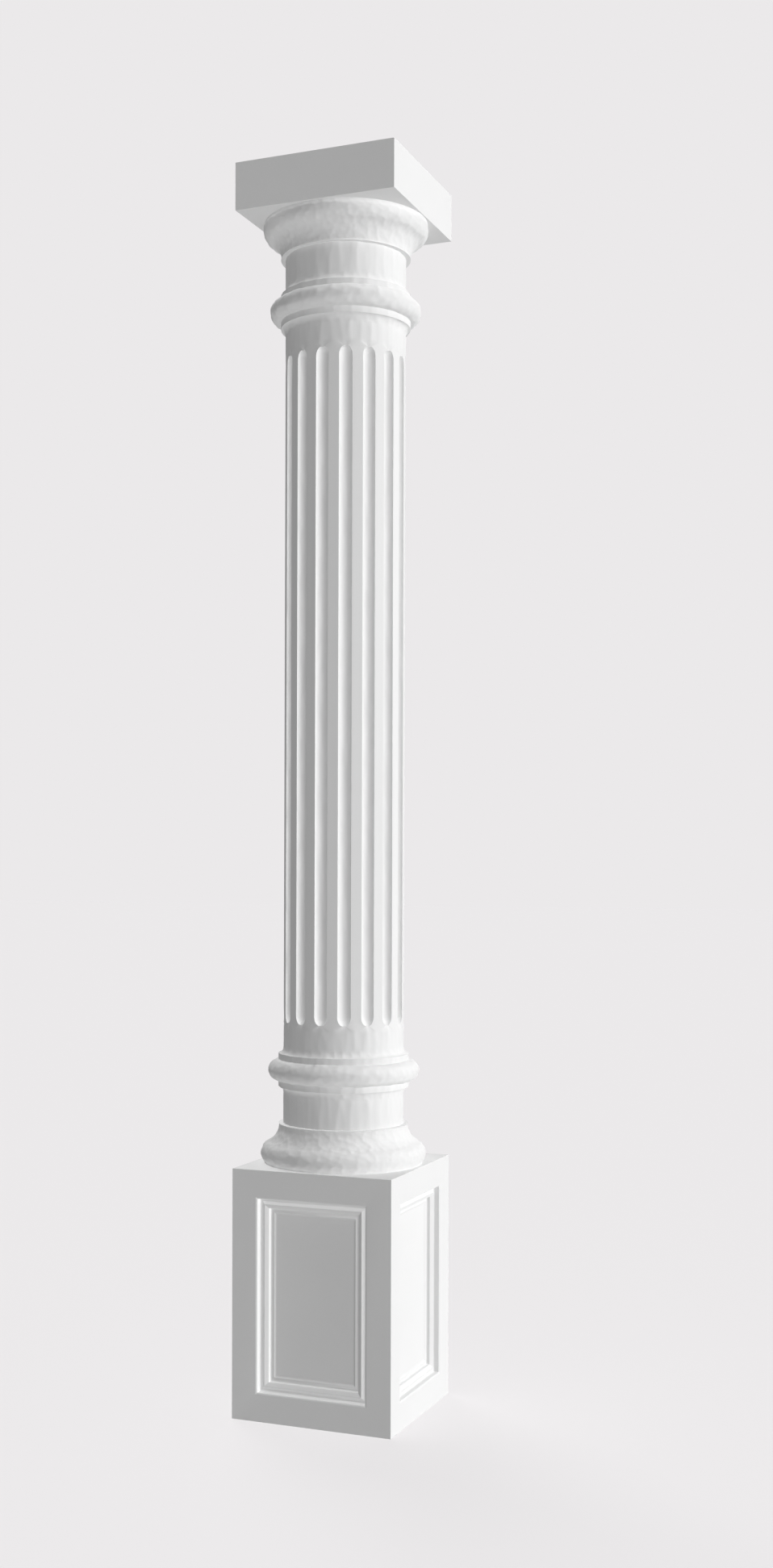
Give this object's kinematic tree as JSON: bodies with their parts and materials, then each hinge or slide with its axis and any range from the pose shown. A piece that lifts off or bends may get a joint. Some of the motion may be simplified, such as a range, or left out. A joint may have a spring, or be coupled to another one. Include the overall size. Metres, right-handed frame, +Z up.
{
  "type": "doric column",
  "caption": "Round fluted column with a beaded ring near each end of its shaft, on a square panelled pedestal and under a square abacus.",
  "frame": {"origin": "centre of the pedestal's underside, where the column stands on the ground", "axes": "+Z up along the column's axis; X and Y square to the faces of the pedestal and the abacus"},
  "size_m": [0.325, 0.325, 2.404],
  "materials": {
    "pedestal_stone": "smooth matte white",
    "moulded_stone": "finely tooled matte white",
    "shaft_stone": "finely tooled matte white"
  },
  "bodies": {
    "root": {"pedestal": "pedestal_stone", "base": "moulded_stone", "shaft": "shaft_stone", "capital": "moulded_stone", "abacus": "pedestal_stone"}
  },
  "joints": []
}
